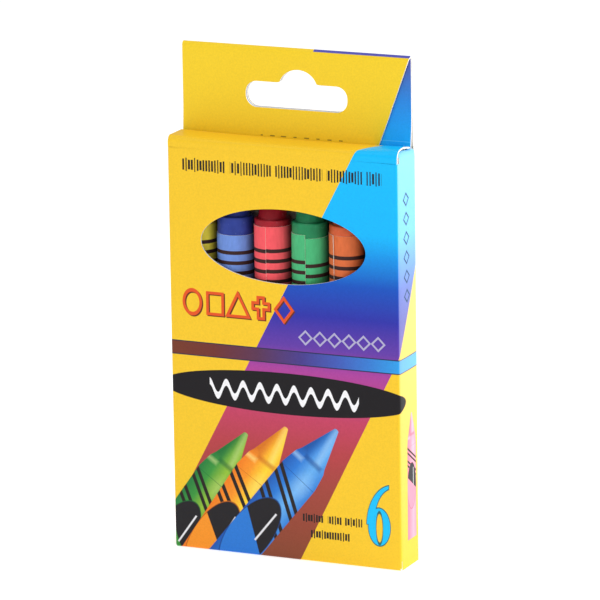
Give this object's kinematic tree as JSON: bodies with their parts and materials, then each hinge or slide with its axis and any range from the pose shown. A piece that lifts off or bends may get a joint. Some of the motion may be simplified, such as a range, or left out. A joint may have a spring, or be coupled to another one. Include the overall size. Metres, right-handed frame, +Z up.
{
  "type": "crayon pack",
  "caption": "Hang-tab paperboard carton with an oval window and a hinged tuck lid, holding upright paper-wrapped wax crayons that slide up and down.",
  "frame": {"origin": "middle of the carton's base, on the surface it stands on", "axes": "+X to the right along the width, the printed front with the window faces -Y, +Z up along the crayons"},
  "size_m": [0.052, 0.0094, 0.1074],
  "materials": {
    "printed_board": "coated carton board with a satin lacquer over full-colour print",
    "board_inside": "uncoated pale inside of the board",
    "wax_yellow": "moulded wax, satin, with scuffs",
    "paper_yellow": "matte printed paper label with dark bands",
    "wax_blue": "moulded wax, satin, with scuffs",
    "paper_blue": "matte printed paper label with dark bands",
    "wax_red": "moulded wax, satin, with scuffs",
    "paper_red": "matte printed paper label with dark bands",
    "wax_green": "moulded wax, satin, with scuffs",
    "paper_green": "matte printed paper label with dark bands",
    "wax_orange": "moulded wax, satin, with scuffs",
    "paper_orange": "matte printed paper label with dark bands",
    "wax_brown": "moulded wax, satin, with scuffs",
    "paper_brown": "matte printed paper label with dark bands"
  },
  "bodies": {
    "carton": {"front_panel": "printed_board", "back_panel": "printed_board", "left_side_panel": "printed_board", "right_side_panel": "printed_board", "side_glue_flap": "board_inside", "hang_tab_back_ply": "printed_board", "hang_tab_middle_ply": "printed_board", "hang_tab_front_ply": "printed_board", "top_dust_flap_left": "printed_board", "top_dust_flap_right": "printed_board", "bottom_outer_flap": "printed_board", "bottom_inner_flap": "board_inside", "bottom_dust_flap_left": "board_inside", "bottom_dust_flap_right": "board_inside"},
    "lid": {"top_lid": "printed_board"},
    "tuck_flap": {"top_tuck_flap": "board_inside"},
    "crayon_yellow": {"crayon_yellow_wax": "wax_yellow", "crayon_yellow_wrapper": "paper_yellow"},
    "crayon_blue": {"crayon_blue_wax": "wax_blue", "crayon_blue_wrapper": "paper_blue"},
    "crayon_red": {"crayon_red_wax": "wax_red", "crayon_red_wrapper": "paper_red"},
    "crayon_green": {"crayon_green_wax": "wax_green", "crayon_green_wrapper": "paper_green"},
    "crayon_orange": {"crayon_orange_wax": "wax_orange", "crayon_orange_wrapper": "paper_orange"},
    "crayon_brown": {"crayon_brown_wax": "wax_brown", "crayon_brown_wrapper": "paper_brown"}
  },
  "joints": [
    {"name": "lid_hinge", "type": "hinge", "parent": "carton", "child": "lid", "pos_m": [0, -0.0047, 0.0876], "axis": [1, 0, 0], "range_deg": [0, 115]},
    {"name": "tuck_flap_crease", "type": "hinge", "parent": "lid", "child": "tuck_flap", "pos_m": [0, 0.00252, 0.08833], "axis": [1, 0, 0], "range_deg": [-30, 0]},
    {"name": "crayon_yellow_slide", "type": "slide", "parent": "carton", "child": "crayon_yellow", "axis": [0, 0, 1], "range_m": [0, 0.0025]},
    {"name": "crayon_blue_slide", "type": "slide", "parent": "carton", "child": "crayon_blue", "axis": [0, 0, 1], "range_m": [0, 0.0025]},
    {"name": "crayon_red_slide", "type": "slide", "parent": "carton", "child": "crayon_red", "axis": [0, 0, 1], "range_m": [0, 0.0025]},
    {"name": "crayon_green_slide", "type": "slide", "parent": "carton", "child": "crayon_green", "axis": [0, 0, 1], "range_m": [0, 0.0025]},
    {"name": "crayon_orange_slide", "type": "slide", "parent": "carton", "child": "crayon_orange", "axis": [0, 0, 1], "range_m": [0, 0.0025]},
    {"name": "crayon_brown_slide", "type": "slide", "parent": "carton", "child": "crayon_brown", "axis": [0, 0, 1], "range_m": [0, 0.0025]}
  ],
  "couplings": [
    {"joint": "tuck_flap_crease", "follows": "lid_hinge", "ratio": -0.25}
  ]
}
